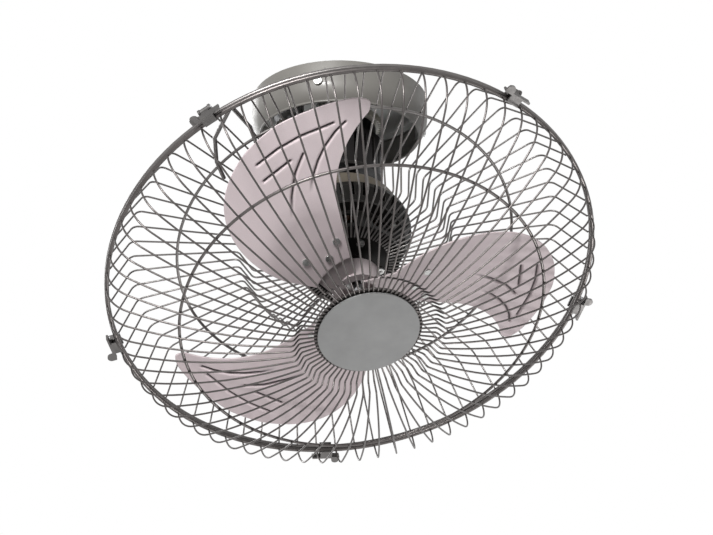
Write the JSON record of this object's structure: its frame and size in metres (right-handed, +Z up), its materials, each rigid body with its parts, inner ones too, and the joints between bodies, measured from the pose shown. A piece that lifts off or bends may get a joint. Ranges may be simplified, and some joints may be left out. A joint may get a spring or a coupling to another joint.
{
  "type": "orbital ceiling fan",
  "caption": "Ceiling fan whose tilted, wire-guarded fan head orbits below a shallow round canopy on a geared neck, with a tilt pivot and hinged rim clips.",
  "frame": {"origin": "centre of the ceiling mounting face, on the vertical orbit axis", "axes": "+Z up into the ceiling, fan hangs towards -Z, X is the tilt pivot's axis and at rest the head faces down and towards -Y"},
  "size_m": [0.4757, 0.4147, 0.34],
  "materials": {
    "zinc_steel": "satin zinc plate",
    "grey_enamel": "satin enamel",
    "bright_screw": "bright plated",
    "ivory_plastic": "moulded",
    "motor_can": "drawn can",
    "steel": "turned",
    "brass": "turned",
    "bronze": "sintered bronze",
    "acetal": "moulded acetal",
    "black_plastic": "satin moulded",
    "black_metal": "satin black",
    "brush_carrier": "phenolic",
    "olive_enamel": "satin enamel",
    "laminations": "stacked sheet",
    "copper": "enamelled copper",
    "aluminium_rotor": "die cast",
    "guard_wire": "grey powder coat",
    "guard_wire_rear": "grey powder coat",
    "cap_grey": "smooth grey",
    "clip_dark": "moulded nylon",
    "blade_mauve": "metallic mauve-grey",
    "hub_mauve": "metallic mauve-grey",
    "dark_nut": "blackened"
  },
  "bodies": {
    "base": {"ceiling_plate": "zinc_steel", "canopy": "grey_enamel", "canopy_screws": "bright_screw", "terminal_block": "ivory_plastic", "orbit_motor": "motor_can", "orbit_motor_screws": "bright_screw", "spindle": "steel", "spindle_bolts": "zinc_steel", "slip_rings": "brass", "thrust_washer": "brass", "spindle_nut": "zinc_steel"},
    "pinion": {"drive_pinion": "acetal"},
    "neck": {"orbit_gear": "acetal", "gear_screws": "bright_screw", "neck_housing": "black_plastic", "neck_screws": "bright_screw", "swivel_hub": "black_metal", "upper_bearing": "bronze", "lower_bearing": "bronze", "brush_holder": "brush_carrier"},
    "head": {"tilt_bracket": "black_metal", "bracket_screws": "bright_screw", "tilt_bolt": "zinc_steel", "tilt_wing_nut": "zinc_steel", "motor_rear_cover": "olive_enamel", "motor_shell": "black_metal", "motor_front_bell": "black_metal", "stator_core": "laminations", "windings": "copper", "rear_bearing": "bronze", "front_bearing": "bronze", "tie_bolts": "bright_screw", "rear_guard_plate": "guard_wire_rear", "rear_guard_screws": "bright_screw", "rear_guard_wires": "guard_wire_rear", "rear_rim_ring": "guard_wire_rear", "rear_support_ring": "guard_wire_rear", "guard_brace": "guard_wire_rear", "front_guard_wires": "guard_wire", "front_rim_ring": "guard_wire", "front_support_ring": "guard_wire", "front_centre_plate": "guard_wire", "centre_cap": "cap_grey", "cap_screw": "bright_screw", "clip_brackets": "clip_dark", "clip_pins": "steel"},
    "rotor": {"motor_shaft": "steel", "rotor_core": "aluminium_rotor", "blade_hub": "hub_mauve", "blade_1": "blade_mauve", "blade_2": "blade_mauve", "blade_3": "blade_mauve", "blade_rivets": "bright_screw", "hub_washer": "zinc_steel", "hub_nut": "dark_nut"},
    "clip_1": {"latch_1": "clip_dark"},
    "clip_2": {"latch_2": "clip_dark"},
    "clip_3": {"latch_3": "clip_dark"},
    "clip_4": {"latch_4": "clip_dark"},
    "clip_5": {"latch_5": "clip_dark"}
  },
  "joints": [
    {"name": "orbit", "type": "hinge", "parent": "base", "child": "neck", "pos_m": [0, 0, -0.05], "axis": [0, 0, 1], "continuous": true},
    {"name": "pinion_spin", "type": "hinge", "parent": "base", "child": "pinion", "pos_m": [-0.04792, 0.01744, -0.025], "axis": [0, 0, 1], "continuous": true},
    {"name": "tilt", "type": "hinge", "parent": "neck", "child": "head", "pos_m": [0, 0, -0.106], "axis": [1, 0, 0], "range_deg": [-10, 25]},
    {"name": "rotor_spin", "type": "hinge", "parent": "head", "child": "rotor", "pos_m": [0, -0.04186, -0.2025], "axis": [0, -0.5, -0.866], "continuous": true},
    {"name": "latch_1_open", "type": "hinge", "parent": "head", "child": "clip_1", "pos_m": [0.2369, -0.03986, -0.19904], "axis": [0, -0.866, 0.5], "range_deg": [0, 100]},
    {"name": "latch_2_open", "type": "hinge", "parent": "head", "child": "clip_2", "pos_m": [0.08102, -0.23265, -0.08773], "axis": [-0.9397, -0.2962, 0.171], "range_deg": [0, 100]},
    {"name": "latch_3_open", "type": "hinge", "parent": "head", "child": "clip_3", "pos_m": [-0.18148, -0.17173, -0.1229], "axis": [-0.6428, 0.6634, -0.383], "range_deg": [0, 100]},
    {"name": "latch_4_open", "type": "hinge", "parent": "head", "child": "clip_4", "pos_m": [-0.20516, 0.06272, -0.25826], "axis": [0.5, 0.75, -0.433], "range_deg": [0, 100]},
    {"name": "latch_5_open", "type": "hinge", "parent": "head", "child": "clip_5", "pos_m": [0.04114, 0.16219, -0.31569], "axis": [0.9848, -0.1504, 0.0868], "range_deg": [0, 100]}
  ],
  "couplings": [
    {"joint": "pinion_spin", "follows": "orbit", "ratio": -3.8571}
  ]
}
